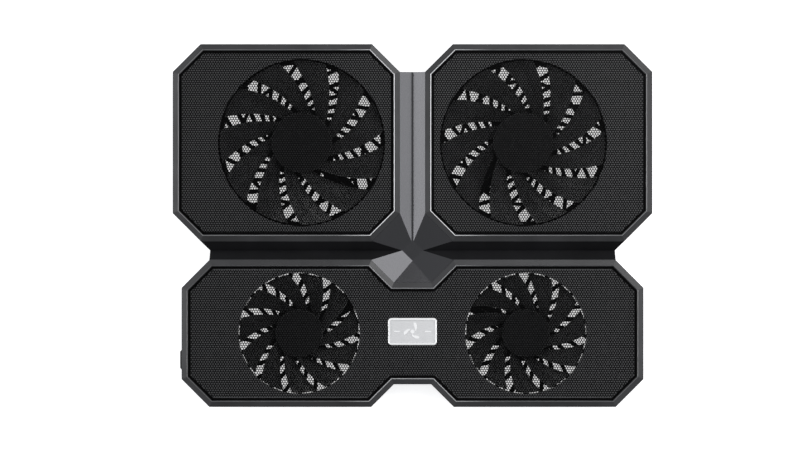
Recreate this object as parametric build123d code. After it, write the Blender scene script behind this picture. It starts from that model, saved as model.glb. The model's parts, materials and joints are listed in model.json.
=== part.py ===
"""Laptop cooling pad: two large fans behind, two small fans in front, on fold-out rear legs.

The frame has +X to the right, +Y to the rear and +Z up. The origin is the centre of the
footprint, at the level that the rubber feet stand on. All sizes are in millimetres.
"""

from build123d import *
import math
import os

# Overall plan: two square rear panels, one wide front panel, and a valley between them.
overall_width = 380.0
overall_depth = 287.5
front_side_step = 7.0
corner_cut = 22.0
spine_half_width = 10.0
rear_panel_depth = 156.05
valley_width = 15.0
notch_mouth_half = 32.7
notch_depth = 17.9

# Heights above the table.
foot_height = 2.0
overall_height = 24.0
floor_thickness = 2.0
shell_split_height = 8.0
rim_drop = 1.6
valley_depth = 5.4
trim_thickness = 2.0
trim_floor_thickness = 2.0
deck_thickness = 1.6
mesh_thickness = 0.6
mesh_recess = 2.6

# Walls, rims and the lip that lines up the two shells.
wall = 2.0
rim_width = 4.7
rim_edge_bevel = 0.45
lip_height = 1.5
lip_thickness = 0.9
bottom_edge_chamfer = 1.4
spine_floor_half = 0.8
star_half_width = 8.2

# Named clearances, and how far a cut runs past the face it starts from.
cut_margin = 1.0
seat_gap = 0.05
head_seat_gap = 0.1
press_gap = 0.01
lip_headroom = 0.3
trim_gap = 0.12
mesh_gap = 0.5
lip_gap = 0.1
running_gap = 0.06
moving_gap = 0.4

# Fans, large and small.
large_fan_from_spine = 78.0
small_fan_x = 90.0
large_opening_radius = 66.3
small_opening_radius = 48.2
large_hub_radius = 24.0
small_hub_radius = 19.0
large_tip_gap = 1.25
small_tip_gap = 0.8
blade_count = 11
large_blade_gap_angle = 9.4
small_blade_gap_angle = 8.6
blade_sweep = 0.6
blade_thickness = 1.3
blade_mid_thickness = 1.5
blade_camber = 0.12
blade_root_depth = 0.8
blade_overrun = 1.5
sweep_reference_radius = 39.6
shroud_wall = 1.7
blade_foot_clearance = 3.6
blade_head_clearance = 1.3
hub_wall = 1.5
hub_top_thickness = 1.5
shaft_radius = 1.5
bearing_radius = 3.5
bearing_tube_wall = 0.8
base_thickness = 2.4
magnet_thickness = 2.2
air_gap = 0.5
pole_count = 4
pole_width = 4.0
pole_shoe_thickness = 1.8
core_stack_height = 5.0
coil_overhang = 1.0
coil_wall = 1.6
lead_block_width = 6.0
lead_block_end = 2.0
lead_block_root = 5.0
rotor_lift = 0.7
shaft_lift = 0.4
shaft_top_depth = 0.6
boss_wall_round_shaft = 1.6
boss_depth = 1.0
magnet_lift = 1.2
core_shelf_height = 2.6
core_shelf_width = 0.9
core_yoke = 2.6
coil_yoke_gap = 0.8
coil_tip_gap = 0.3
coil_round = 0.7
pole_slit = 2.0
bearing_top_gap = 1.6
bearing_inset = 0.2
hub_chamfer = 0.8

# Motor base and screw circle, in from the hub, and the air inlet, out from the hub and in from the opening.
large_base_inset = 3.0
small_base_inset = 2.5
large_screw_inset = 10.0
small_screw_inset = 8.0
large_inlet_hub_gap = 4.0
small_inlet_hub_gap = 3.5
large_inlet_edge = 3.8
ring_rib_inset = 17.3
large_rib_count = 26
small_rib_count = 25
large_rib_slant = 0.85
small_rib_slant = 0.4
large_rib_angle = 5.4
small_rib_angle = 1.3

# Air inlets in the floor and the wire channels that cross them.
rib_width = 3.3
ring_rib_width = 3.0
channel_width = 12.0
channel_wall = 1.0
channel_wall_height = 2.6
shroud_floor_gap = 1.4
shroud_notch_half = 2.5
shroud_notch_height = 2.2
shroud_notch_reach = 4.0
channel_hub_lap = 2.0
channel_rim_lap = 1.0
channel_shroud_gap = 1.5

# Leads.
fan_lead_diameter = 2.0
switch_lead_diameter = 1.8
usb_lead_diameter = 3.0
lead_floor_gap = 0.2
large_lead_past_shroud = 12.0
small_lead_past_shroud = 16.0
lead_straight_at_board = 13.0
usb_lead_offset = 14.0
usb_lead_straight = 11.0

# Screws.
shell_screw_radius = 1.4
shell_screw_head_radius = 2.8
shell_screw_head_height = 1.1
shell_screw_length = 9.5
boss_wall = 2.0
small_screw_radius = 0.95
small_screw_head_radius = 1.9
small_screw_head_height = 1.2
small_screw_length = 2.6
head_gap = 0.2
screw_head_chamfer = 0.3
recess_edge = 0.9
recess_width = 0.5

# Fold-out rear legs.
leg_side_inset = 18.0
leg_pivot_rear_inset = 45.8
leg_length = 56.0
leg_width = 14.0
leg_thickness = 4.6
leg_knuckle_radius = 3.8
leg_pin_radius = 1.5
leg_tip_length = 6.0
leg_side_gap = 1.0
leg_swing_gap = 5.2
leg_recess_wall = 1.4
leg_rest_above_floor_face = 0.4
finger_room = 8.0
leg_pin_end_gap = 0.2
leg_skin = 2.0
leg_tongue_skin = 1.2
leg_tongue_length = 3.0
leg_pocket_depth = 2.6
leg_rib_thickness = 1.6
leg_tip_round = 1.6

# Feet.
foot_radius = 7.0
foot_seat_depth = 0.6
foot_round = 0.6
rear_foot_side_inset = 25.0
rear_foot_edge_inset = 20.8
front_foot_side_inset = 23.0
front_foot_edge_inset = 31.8

# Control board in the middle of the pad.
board_width = 38.0
board_depth = 24.0
board_thickness = 1.6
board_behind_valley = -2.2
board_post_height = 3.0
board_post_radius = 3.0
board_post_offset = 3.5
board_post_side_inset = 3.5
post_hole_floor = 0.2
header_width = 6.0
header_depth = 4.5
header_height = 4.0
header_x = 12.0
switch_header_offset = -4.5
chip_size = 8.0
chip_height = 1.5
capacitor_x = 8.5
capacitor_radius = 2.4
capacitor_chamfer = 0.4

# Mode button on the left side of the front panel.
button_from_front_edge = 37.3
button_length = 16.0
button_height = 7.0
button_proud = 1.4
button_end_slope = 1.4
button_flange = 1.6
button_flange_thickness = 1.5
button_travel = 0.6
button_z = 13.5
stem_length = 3.2
plunger_radius = 1.7
plunger_length = 3.4
switch_size = 6.0
switch_depth = 3.5
plunger_in_switch = 1.9
plunger_floor_gap = 0.5
button_inner_gap = 0.3
button_edge_chamfer = 0.7
stem_half = 2.0
switch_post_offset = 8.5
switch_post_half_width = 1.5
switch_post_skin = 2.0
switch_post_top = 12.0
switch_board_half = 11.0
switch_board_lift = 2.0
switch_board_above_button = 4.5

# Rear data sockets.
socket_x = -52.0
socket_spacing = 18.0
socket_width = 13.1
socket_height = 5.7
socket_length = 11.9
socket_wall = 0.3
tongue_thickness = 1.84
tongue_length = 8.6
tongue_half_width = 5.5
tongue_top_gap = 0.4
socket_lip_gap = 0.15
socket_rear_inset = 0.3
socket_back_wall = 1.0
socket_board_half = 18.5
socket_board_wall_gap = 1.2
socket_post_offset = 16.0
socket_post_wall_gap = 7.0
socket_post_radius = 2.2

# Badge on the front mesh.
badge_offset = 1.5
badge_width = 38.5
badge_depth = 21.4
badge_corner = 2.8
badge_rim = 1.5
badge_rim_height = 2.0
badge_plate_height = 1.3
badge_rim_chamfer = 0.5

# Derived levels.
floor_under = foot_height
floor_top = floor_under + floor_thickness
rim_top = overall_height
rim_edge = rim_top - rim_drop
valley_floor = rim_edge - valley_depth
trim_under = valley_floor - trim_thickness
low_ceiling = trim_under - trim_floor_thickness
mesh_top = rim_top - mesh_recess
deck_top = mesh_top - mesh_thickness
deck_under = deck_top - deck_thickness
base_top = floor_top + base_thickness
blade_low = floor_top + blade_foot_clearance
blade_high = deck_under - blade_head_clearance
shroud_low = floor_top + shroud_floor_gap

# Derived plan positions.
half_width = overall_width / 2
half_depth = overall_depth / 2
front_half_width = half_width - front_side_step
rear_panel_front = half_depth - rear_panel_depth
front_panel_rear = rear_panel_front - valley_width
valley_y = rear_panel_front - valley_width / 2
spine_rear = half_depth - corner_cut
notch_floor_half = notch_mouth_half - notch_depth
star_front_y = valley_y - star_half_width
large_fan_x = spine_half_width + large_fan_from_spine
large_fan_y = (rear_panel_front + half_depth) / 2
small_fan_y = (front_panel_rear - half_depth) / 2
badge_y = small_fan_y + badge_offset
button_y = -half_depth + button_from_front_edge
board_y = valley_y + board_behind_valley
switch_header_y = board_y + switch_header_offset
leg_x = half_width - leg_side_inset
leg_pivot_y = half_depth - leg_pivot_rear_inset
leg_pivot_z = floor_under + leg_rest_above_floor_face + leg_knuckle_radius
leg_recess_top = leg_pivot_z + leg_knuckle_radius + moving_gap

fan_types = {
    "large": {
        "opening": large_opening_radius,
        "tip": large_opening_radius - large_tip_gap,
        "blade_gap_angle": large_blade_gap_angle,
        "hub": large_hub_radius,
        "base": large_hub_radius - large_base_inset,
        "screw_circle": large_hub_radius - large_screw_inset,
        "inlet_inner": large_hub_radius + large_inlet_hub_gap,
        "inlet_outer": large_opening_radius - large_inlet_edge,
        "ring_rib": large_opening_radius - ring_rib_inset,
        "ribs": large_rib_count,
        "rib_slant": large_rib_slant,
        "rib_angle": large_rib_angle,
        "lead_past_shroud": large_lead_past_shroud,
    },
    "small": {
        "opening": small_opening_radius,
        "tip": small_opening_radius - small_tip_gap,
        "blade_gap_angle": small_blade_gap_angle,
        "hub": small_hub_radius,
        "base": small_hub_radius - small_base_inset,
        "screw_circle": small_hub_radius - small_screw_inset,
        "inlet_inner": small_hub_radius + small_inlet_hub_gap,
        "inlet_outer": small_opening_radius,
        "ring_rib": None,
        "ribs": small_rib_count,
        "rib_slant": small_rib_slant,
        "rib_angle": small_rib_angle,
        "lead_past_shroud": small_lead_past_shroud,
    },
}

# Each fan: its kind, centre, the angle of one blade gap and the direction of its wire channel.
fans = {
    "rear_left": ("large", -large_fan_x, large_fan_y, 19.4, -45.0),
    "rear_right": ("large", large_fan_x, large_fan_y, -3.3, 225.0),
    "front_left": ("small", -small_fan_x, small_fan_y, 24.7, 31.0),
    "front_right": ("small", small_fan_x, small_fan_y, 22.1, 152.0),
}

screw_places = [
    (half_width - 40.0, half_depth - 15.8),
    (spine_half_width + 20.0, half_depth - 19.8),
    (half_width - 40.0, rear_panel_front + 14.3),
    (notch_floor_half + 25.2, front_panel_rear - 14.7),
    (front_half_width - 33.0, -half_depth + 13.8),
    (notch_floor_half + 25.2, -half_depth + 13.8),
]
screw_points = [(side * x, y) for x, y in screw_places for side in (-1, 1)]
foot_places = [
    (half_width - rear_foot_side_inset, half_depth - rear_foot_edge_inset),
    (front_half_width - front_foot_side_inset, -half_depth + front_foot_edge_inset),
]
foot_points = [(side * x, y) for x, y in foot_places for side in (-1, 1)]
board_post_x = board_width / 2 - board_post_side_inset
board_post_points = [
    (-board_post_x, board_y + board_post_offset),
    (board_post_x, board_y + board_post_offset),
    (board_post_x, board_y - board_post_offset),
]

parts = {}


def polygon(points):
    """A flat face from its corner points."""
    return make_face(Polyline(*points, close=True))


def slab(face, low, high):
    """The face pushed up from one level to another."""
    return Pos(0, 0, low) * extrude(face, high - low)


def box(low, high):
    """An upright box between two corners."""
    size = [b - a for a, b in zip(low, high)]
    return Pos(*low) * Box(*size, align=(Align.MIN, Align.MIN, Align.MIN))


def cylinder(x, y, radius, low, high):
    """An upright cylinder between two levels."""
    return Pos(x, y, low) * Cylinder(radius, high - low, align=(Align.CENTER, Align.CENTER, Align.MIN))


def mirrored_loop(half_points):
    """A closed outline from its right half, given from front to rear."""
    left = [(-x, y) for x, y in reversed(half_points)]
    return half_points + left


def grown(face, amount):
    """The face with its edge moved out, or in when the amount is negative, with sharp corners."""
    return offset(face, amount, kind=Kind.INTERSECTION)


def overall_outline():
    """Plan outline of both shells."""
    corner_drop = half_width - (rear_panel_front + corner_cut - valley_y)
    return polygon(
        mirrored_loop(
            [
                (notch_floor_half, -half_depth + notch_depth),
                (notch_mouth_half, -half_depth),
                (front_half_width - corner_cut, -half_depth),
                (front_half_width, -half_depth + corner_cut),
                (front_half_width, front_panel_rear - corner_cut),
                (front_half_width - corner_cut, front_panel_rear),
                (corner_drop, valley_y),
                (half_width, rear_panel_front + corner_cut),
                (half_width, half_depth - corner_cut),
                (half_width - corner_cut, half_depth),
                (spine_half_width + corner_cut, half_depth),
                (spine_half_width, spine_rear),
            ]
        )
    )


def rear_panel_outline(side):
    """Plan outline of one rear panel; side is 1 for the right one."""
    inner = spine_half_width
    outer = half_width
    low = rear_panel_front
    high = half_depth
    points = [
        (inner + corner_cut, low),
        (outer - corner_cut, low),
        (outer, low + corner_cut),
        (outer, high - corner_cut),
        (outer - corner_cut, high),
        (inner + corner_cut, high),
        (inner, high - corner_cut),
        (inner, low + corner_cut),
    ]
    return polygon([(side * x, y) for x, y in points])


def front_panel_outline():
    """Plan outline of the front panel with its two notches."""
    return polygon(
        mirrored_loop(
            [
                (notch_floor_half, -half_depth + notch_depth),
                (notch_mouth_half, -half_depth),
                (front_half_width - corner_cut, -half_depth),
                (front_half_width, -half_depth + corner_cut),
                (front_half_width, front_panel_rear - corner_cut),
                (front_half_width - corner_cut, front_panel_rear),
                (notch_mouth_half, front_panel_rear),
                (notch_floor_half, front_panel_rear - notch_depth),
            ]
        )
    )


def panel_outlines():
    """The three panels that carry mesh."""
    return {
        "mesh_left": rear_panel_outline(-1),
        "mesh_right": rear_panel_outline(1),
        "mesh_front": front_panel_outline(),
    }


def trim_half_outline():
    """Right half of the centre trim's plan outline, from front to rear."""
    return [
        (notch_floor_half, front_panel_rear - notch_depth),
        (notch_mouth_half, front_panel_rear),
        (star_half_width, valley_y),
        (spine_half_width + corner_cut, rear_panel_front),
        (spine_half_width, rear_panel_front + corner_cut),
        (spine_half_width, spine_rear),
    ]


def facet(points):
    """A flat face from corner points in space."""
    return Face(Wire.make_polygon([Vector(*point) for point in points], close=True))


def centre_trim():
    """The faceted trim: a V groove down the spine that ends in a star between the panels."""
    star_shoulder = valley_y + star_half_width - spine_floor_half
    high = {
        "front": (notch_floor_half, front_panel_rear - notch_depth, rim_edge),
        "side": (notch_mouth_half, front_panel_rear, rim_edge),
        "pinch": (star_half_width, valley_y, valley_floor),
        "corner": (spine_half_width + corner_cut, rear_panel_front, rim_edge),
        "bend": (spine_half_width, rear_panel_front + corner_cut, rim_edge),
        "rear": (spine_half_width, spine_rear, rim_edge),
        "shoulder": (spine_floor_half, star_shoulder, valley_floor),
        "groove": (spine_floor_half, spine_rear, valley_floor),
    }
    star_front = (0.0, star_front_y, valley_floor)
    faces = []
    for side in (-1, 1):
        p = {name: (side * x, y, z) for name, (x, y, z) in high.items()}
        faces.append(facet([p["rear"], p["groove"], p["shoulder"], p["bend"]]))
        faces.append(facet([p["bend"], p["shoulder"], p["pinch"], p["corner"]]))
        faces.append(facet([p["side"], p["pinch"], star_front, p["front"]]))
        edge_names = ("front", "side", "pinch", "corner", "bend", "rear")
        for start, end in zip(edge_names, edge_names[1:]):
            a, b = p[start], p[end]
            faces.append(facet([a, b, (b[0], b[1], trim_under), (a[0], a[1], trim_under)]))
    mirror = {name: (-x, y, z) for name, (x, y, z) in high.items()}
    faces.append(facet([high["front"], star_front, mirror["front"]]))
    floor_loop = [high["groove"], high["shoulder"], high["pinch"], star_front]
    floor_loop += [mirror["pinch"], mirror["shoulder"], mirror["groove"]]
    faces.append(facet(floor_loop))
    front_low = [(x, y, trim_under) for x, y, _ in (mirror["front"], high["front"])]
    faces.append(facet([high["front"], mirror["front"]] + front_low))
    rear_low = [(x, y, trim_under) for x, y, _ in (mirror["rear"], high["rear"])]
    rear_top = [high["rear"], high["groove"], mirror["groove"], mirror["rear"]]
    faces.append(facet(rear_top + rear_low))
    faces.append(facet([(x, y, trim_under) for x, y in mirrored_loop(trim_half_outline())]))
    return Solid(Shell(faces)).fix()


def raised_rim(outline):
    """The sloping rim of one panel, highest at the crest beside its window."""
    top = grown(outline, rim_edge_bevel - rim_width)
    return loft([Pos(0, 0, rim_edge) * outline, Pos(0, 0, rim_top) * top], ruled=True)


def window_cut(outline):
    """The window of one panel down to its deck, with a fine bevel round its upper edge."""
    window = grown(outline, -rim_width)
    flare = loft(
        [
            Pos(0, 0, rim_top - rim_edge_bevel) * window,
            Pos(0, 0, rim_top + rim_edge_bevel) * grown(window, 2 * rim_edge_bevel),
        ],
        ruled=True,
    )
    return slab(window, deck_top, rim_top + cut_margin) + flare


def valley_cut():
    """The V-shaped valley that runs from side to side between the panels."""
    above = rim_top + cut_margin
    profile = [
        (rear_panel_front, above),
        (rear_panel_front, rim_edge),
        (valley_y, valley_floor),
        (front_panel_rear, rim_edge),
        (front_panel_rear, above),
    ]
    face = Plane.YZ * polygon(profile)
    return Pos(-overall_width, 0, 0) * extrude(face, 2 * overall_width)


def shroud(kind, x, y, channel_angle):
    """The ring wall that a fan turns in, notched where its lead passes under it."""
    size = fan_types[kind]
    outer = size["opening"] + shroud_wall
    ring = cylinder(x, y, outer, shroud_low, deck_under)
    ring -= cylinder(x, y, size["opening"], shroud_low, deck_under)
    notch = box(
        (size["opening"] - shroud_notch_reach, -shroud_notch_half, shroud_low),
        (outer + shroud_notch_reach, shroud_notch_half, shroud_low + shroud_notch_height),
    )
    return ring - Pos(x, y, 0) * Rot(0, 0, channel_angle) * notch


def socket_points():
    """Centres of the two rear sockets along X."""
    return [socket_x + side * socket_spacing / 2 for side in (-1, 1)]


def socket_z():
    """Height of the rear sockets' centre line."""
    return shell_split_height + lip_height + socket_lip_gap + socket_height / 2


def shell_screw_seat():
    """Level that the heads of the shell screws bear on."""
    return floor_under + shell_screw_head_height + head_seat_gap


def small_screw_seat():
    """Level that the heads of the motor base screws bear on."""
    return floor_under + small_screw_head_height + head_seat_gap


def top_frame():
    """Upper housing: rims, valley, decks under the mesh, fan shrouds and screw bosses."""
    outline = overall_outline()
    outlines = panel_outlines()
    body = slab(outline, shell_split_height, rim_edge)
    for panel in outlines.values():
        body += raised_rim(panel)
    cuts = [valley_cut(), slab(grown(outline, -wall), shell_split_height, low_ceiling)]
    rebate = grown(outline, -(wall - lip_thickness - lip_gap))
    cuts.append(slab(rebate, shell_split_height, shell_split_height + lip_height + lip_headroom))
    trim_seat = grown(polygon(mirrored_loop(trim_half_outline())), trim_gap)
    cuts.append(slab(trim_seat, trim_under, rim_top + cut_margin))
    for panel in outlines.values():
        cuts.append(window_cut(panel))
        cuts.append(slab(grown(panel, -wall), low_ceiling - cut_margin, deck_under))
    body -= cuts
    adds = [shroud(kind, x, y, channel) for kind, x, y, _, channel in fans.values()]
    for x, y in screw_points:
        adds.append(cylinder(x, y, shell_screw_radius + boss_wall, floor_top, deck_under))
    body += adds
    holes = []
    for kind, x, y, _, _ in fans.values():
        opening = fan_types[kind]["opening"]
        holes.append(cylinder(x, y, opening, deck_under - cut_margin, deck_top + cut_margin))
    hole_top = shell_screw_seat() + shell_screw_length + cut_margin
    for x, y in screw_points:
        holes.append(cylinder(x, y, shell_screw_radius + seat_gap, floor_top - cut_margin, hole_top))
    for x in socket_points():
        reach = (socket_width / 2 + moving_gap, socket_height / 2 + moving_gap)
        low = (x - reach[0], half_depth - wall - cut_margin, socket_z() - reach[1])
        high = (x + reach[0], half_depth + cut_margin, socket_z() + reach[1])
        holes.append(box(low, high))
    half = (button_length / 2 + moving_gap / 2, button_height / 2 + moving_gap / 2)
    low = (-front_half_width - cut_margin, button_y - half[0], button_z - half[1])
    high = (-front_half_width + wall + cut_margin, button_y + half[0], button_z + half[1])
    holes.append(box(low, high))
    return body - holes


def spiral_point(size, radius, angle):
    """A point on a rib's line at this radius, for a rib at this angle at the reference radius."""
    turn = math.radians(angle) - size["rib_slant"] * math.log(radius / sweep_reference_radius)
    return Vector(radius * math.cos(turn), radius * math.sin(turn))


def slot_wire(size, x, y, index, low, high):
    """One opening of an air inlet, between two neighbouring ribs."""
    pitch = 360 / size["ribs"]
    sides = []
    slant = math.hypot(1, size["rib_slant"])
    for end, sense in ((index, 1), (index + 1, -1)):
        centre = size["rib_angle"] + end * pitch
        middle = (low + high) / 2
        line = []
        for radius in (low, middle, high):
            half_rib = math.degrees(rib_width / 2 * slant / radius)
            line.append(spiral_point(size, radius, centre + sense * half_rib))
        sides.append(line)
    first, second = sides
    outer_mid = (first[2] + second[2]).normalized() * high
    inner_mid = (first[0] + second[0]).normalized() * low
    edges = [
        ThreePointArc(first[0], first[1], first[2]),
        ThreePointArc(first[2], outer_mid, second[2]),
        ThreePointArc(second[2], second[1], second[0]),
        ThreePointArc(second[0], inner_mid, first[0]),
    ]
    return Pos(x, y) * Wire(edges)


def inlet_wires(kind, x, y):
    """All openings of one fan's air inlet."""
    size = fan_types[kind]
    bands = [(size["inlet_inner"], size["inlet_outer"])]
    if size["ring_rib"]:
        half_ring = ring_rib_width / 2
        bands = [
            (size["inlet_inner"], size["ring_rib"] - half_ring),
            (size["ring_rib"] + half_ring, size["inlet_outer"]),
        ]
    return [slot_wire(size, x, y, i, low, high) for low, high in bands for i in range(size["ribs"])]


def wire_channel(kind, x, y, angle):
    """The covered way that carries a fan's lead across its air inlet."""
    size = fan_types[kind]
    inner = size["inlet_inner"] - channel_hub_lap
    half = channel_width / 2
    strap = box((inner, -half, floor_under), (size["inlet_outer"] + channel_rim_lap, half, floor_top))
    wall_end = size["opening"] - channel_shroud_gap
    for side in (-1, 1):
        low, high = sorted((side * half, side * (half - channel_wall)))
        strap += box((inner, low, floor_top), (wall_end, high, floor_top + channel_wall_height))
    return Pos(x, y, 0) * Rot(0, 0, angle) * strap


def leg_recess(side):
    """The pocket that a folded leg lies in, as its outer block and its inner space."""
    half = leg_width / 2 + leg_side_gap
    low_y = leg_pivot_y - leg_length - finger_room
    high_y = leg_pivot_y + leg_swing_gap
    x = side * leg_x
    inner_low = (x - half, low_y, floor_under - cut_margin)
    inner_high = (x + half, high_y, leg_recess_top)
    skin = leg_recess_wall
    outer_low = (x - half - skin, low_y - skin, floor_under)
    outer_high = (x + half + skin, high_y + skin, leg_recess_top + skin)
    return box(outer_low, outer_high), box(inner_low, inner_high)


def leg_pin_span():
    """Half the length of a leg's pin: through the leg and into both walls of its recess."""
    return leg_width / 2 + leg_side_gap + leg_recess_wall - leg_pin_end_gap


def pin_along_x(x, radius, half_length):
    """A cylinder along X on a leg's pivot line."""
    rod = Cylinder(radius, 2 * half_length)
    return Pos(x, leg_pivot_y, leg_pivot_z) * Rot(0, 90, 0) * rod


def fan_screw_points(kind, x, y, channel_angle):
    """The three screws that hold a fan's motor base to the floor."""
    circle = fan_types[kind]["screw_circle"]
    angles = [math.radians(channel_angle + 60 + 120 * i) for i in range(3)]
    return [(x + circle * math.cos(a), y + circle * math.sin(a)) for a in angles]


def all_fan_screw_points():
    """Every motor base screw."""
    points = []
    for kind, x, y, _, channel in fans.values():
        points += fan_screw_points(kind, x, y, channel)
    return points


def switch_post(end):
    """One of the two slotted posts that hold the switch board upright."""
    front = switch_board_x()
    back = front + board_thickness
    y = button_y + end * switch_post_offset
    half = switch_post_half_width
    post_low = (front - switch_post_skin, y - half, floor_top)
    post_high = (back + switch_post_skin, y + half, switch_post_top)
    slot_low = (front - seat_gap, y - half - cut_margin, switch_board_low())
    slot_high = (back + seat_gap, y + half + cut_margin, switch_post_top + cut_margin)
    return box(post_low, post_high) - box(slot_low, slot_high)


def switch_board_x():
    """The face of the switch board that the switch sits on."""
    return switch_face_x() + switch_depth


def switch_board_low():
    """Lower edge of the switch board."""
    return floor_top + switch_board_lift


def button_inner_x():
    """Where the button's cap ends behind the side wall and its flange begins."""
    return -front_half_width + wall + button_inner_gap


def button_stem_end_x():
    """Where the button's stem meets the switch plunger."""
    return button_inner_x() + button_flange_thickness + stem_length


def switch_face_x():
    """The face of the switch that its plunger goes into."""
    return button_stem_end_x() + plunger_length - plunger_in_switch


def bottom_shell():
    """Lower housing: floor with air inlets, side wall, wire channels, leg recesses and posts."""
    outline = overall_outline()
    inlets = []
    for kind, x, y, _, _ in fans.values():
        inlets += inlet_wires(kind, x, y)
    floor_face = Face(outline.face().outer_wire(), inlets)
    floor = slab(floor_face, floor_under, floor_top)
    wall_ring = slab(outline - grown(outline, -wall), floor_under, shell_split_height)
    lip_outer = grown(outline, -(wall - lip_thickness))
    lip = slab(lip_outer - grown(outline, -wall), floor_top, shell_split_height + lip_height)
    adds = [wall_ring, lip]
    cuts = []
    for kind, x, y, _, channel in fans.values():
        adds.append(wire_channel(kind, x, y, channel))
    for side in (-1, 1):
        outer, inner = leg_recess(side)
        adds.append(outer)
        cuts.append(inner)
        cuts.append(pin_along_x(side * leg_x, leg_pin_radius + seat_gap, leg_pin_span() + seat_gap))
    for x, y in board_post_points:
        adds.append(cylinder(x, y, board_post_radius, floor_top, floor_top + board_post_height))
        hole_low = floor_top + post_hole_floor
        hole_high = floor_top + board_post_height + cut_margin
        cuts.append(cylinder(x, y, small_screw_radius + seat_gap, hole_low, hole_high))
    for x in (socket_x - socket_post_offset, socket_x + socket_post_offset):
        y = half_depth - socket_post_wall_gap
        adds.append(cylinder(x, y, socket_post_radius, floor_top, socket_board_low()))
    adds += [switch_post(end) for end in (-1, 1)]
    below = floor_under - cut_margin
    for x, y in screw_points:
        cuts.append(cylinder(x, y, shell_screw_radius + seat_gap, below, floor_top + cut_margin))
        cuts.append(cylinder(x, y, shell_screw_head_radius + head_gap, below, shell_screw_seat()))
    for x, y in all_fan_screw_points():
        cuts.append(cylinder(x, y, small_screw_radius + seat_gap, below, floor_top + cut_margin))
        cuts.append(cylinder(x, y, small_screw_head_radius + head_gap, below, small_screw_seat()))
    for x, y in foot_points:
        cuts.append(cylinder(x, y, foot_radius + seat_gap, below, floor_under + foot_seat_depth))
    body = floor + adds
    body -= cuts
    return chamfer(underside_outline_edges(body), bottom_edge_chamfer)


def underside_outline_edges(body):
    """The edges of the underside that lie on the overall outline."""
    outline = Pos(0, 0, floor_under) * overall_outline().face().outer_wire()
    low_edges = body.edges().filter_by_position(Axis.Z, floor_under - 0.01, floor_under + 0.01)
    return [e for e in low_edges if outline.distance_to(e.position_at(0.5)) < 1e-3]


def socket_board_low():
    """Underside of the socket board."""
    return socket_z() - socket_height / 2 - board_thickness


def mesh_panel(outline):
    """One mesh sheet, lying on its deck inside the rim."""
    return slab(grown(outline, -(rim_width + mesh_gap)), deck_top, mesh_top)


def blade_section(size, radius, low, high):
    """A blade's slanted section at one radius, upright and square to that radius."""
    half_angle = (360 / blade_count - size["blade_gap_angle"]) / 2
    half_chord = radius * math.tan(math.radians(half_angle))
    rise = high - low - blade_thickness
    camber = blade_camber * rise
    points = [
        (half_chord, low),
        (0.0, low + rise / 2 - camber),
        (-half_chord, low + rise),
        (-half_chord, high),
        (0.0, low + rise / 2 - camber + blade_mid_thickness),
        (half_chord, low + blade_thickness),
    ]
    turn = blade_sweep * math.log(radius / sweep_reference_radius)
    radial = Vector(math.cos(turn), math.sin(turn), 0)
    tangent = Vector(-math.sin(turn), math.cos(turn), 0)
    plane = Plane(origin=radial * radius, x_dir=tangent, z_dir=tangent.cross(Vector(0, 0, 1)))
    return plane * polygon(points)


def rotor(kind):
    """Hub cup with swept blades, on the Z axis, with a blade centred half a pitch from angle 0."""
    size = fan_types[kind]
    hub = size["hub"]
    skirt_low = base_top + rotor_lift
    cup = cylinder(0, 0, hub, skirt_low, blade_high)
    cup = chamfer(cup.edges().group_by(Axis.Z)[-1], hub_chamfer)
    cup -= cylinder(0, 0, hub - hub_wall, skirt_low, blade_high - hub_top_thickness)
    boss_low = blade_high - hub_top_thickness - boss_depth
    boss = cylinder(0, 0, shaft_radius + boss_wall_round_shaft, boss_low, blade_high - head_seat_gap)
    radii = (hub - blade_root_depth, (hub + size["tip"]) / 2, size["tip"] + blade_overrun)
    blade = loft([blade_section(size, r, blade_low, blade_high) for r in radii])
    blade &= cylinder(0, 0, size["tip"], 0, overall_height)
    pitch = 360 / blade_count
    blades = [Rot(0, 0, pitch * (i + 0.5)) * blade for i in range(blade_count)]
    wheel = cup + boss + blades
    bore = cylinder(0, 0, shaft_radius + press_gap, skirt_low, blade_high - shaft_top_depth)
    return wheel - bore


def shaft():
    """Steel shaft, pressed into the hub and running in the bearing."""
    return cylinder(0, 0, shaft_radius, base_top + shaft_lift, blade_high - shaft_top_depth)


def magnet_ring(kind):
    """Magnet ring inside the hub cup."""
    outer = fan_types[kind]["hub"] - hub_wall - seat_gap
    low = base_top + magnet_lift
    high = blade_high - hub_top_thickness
    ring = cylinder(0, 0, outer, low, high)
    return ring - cylinder(0, 0, outer - magnet_thickness, low, high)


def tube_radius():
    """Outer radius of the bearing tube."""
    return bearing_radius + seat_gap + bearing_tube_wall


def core_low():
    """Underside of the stator core."""
    return base_top + core_shelf_height


def bearing_top():
    """Upper end of the bearing, below the hub's boss."""
    return blade_high - hub_top_thickness - bearing_top_gap


def motor_base(kind):
    """Round base with the bearing tube, a shoulder for the core and a block for the lead."""
    size = fan_types[kind]
    base = cylinder(0, 0, size["base"], floor_top, base_top)
    base += cylinder(0, 0, tube_radius() + core_shelf_width, floor_top, core_low())
    base += cylinder(0, 0, tube_radius(), floor_top, bearing_top())
    half = lead_block_width / 2
    root = size["base"] - lead_block_root
    base += box((root, -half, floor_top), (size["base"] + lead_block_end, half, base_top))
    base -= cylinder(0, 0, bearing_radius + seat_gap, base_top, bearing_top() + cut_margin)
    for x, y in fan_screw_points(kind, 0, 0, 0):
        hole_top = small_screw_seat() + small_screw_length + head_seat_gap
        base -= cylinder(x, y, small_screw_radius + seat_gap, floor_top - cut_margin, hole_top)
    return base


def bearing():
    """Sleeve bearing inside the tube."""
    sleeve = cylinder(0, 0, bearing_radius, base_top, bearing_top() - bearing_inset)
    return sleeve - cylinder(0, 0, shaft_radius + running_gap, base_top - cut_margin, bearing_top())


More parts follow.
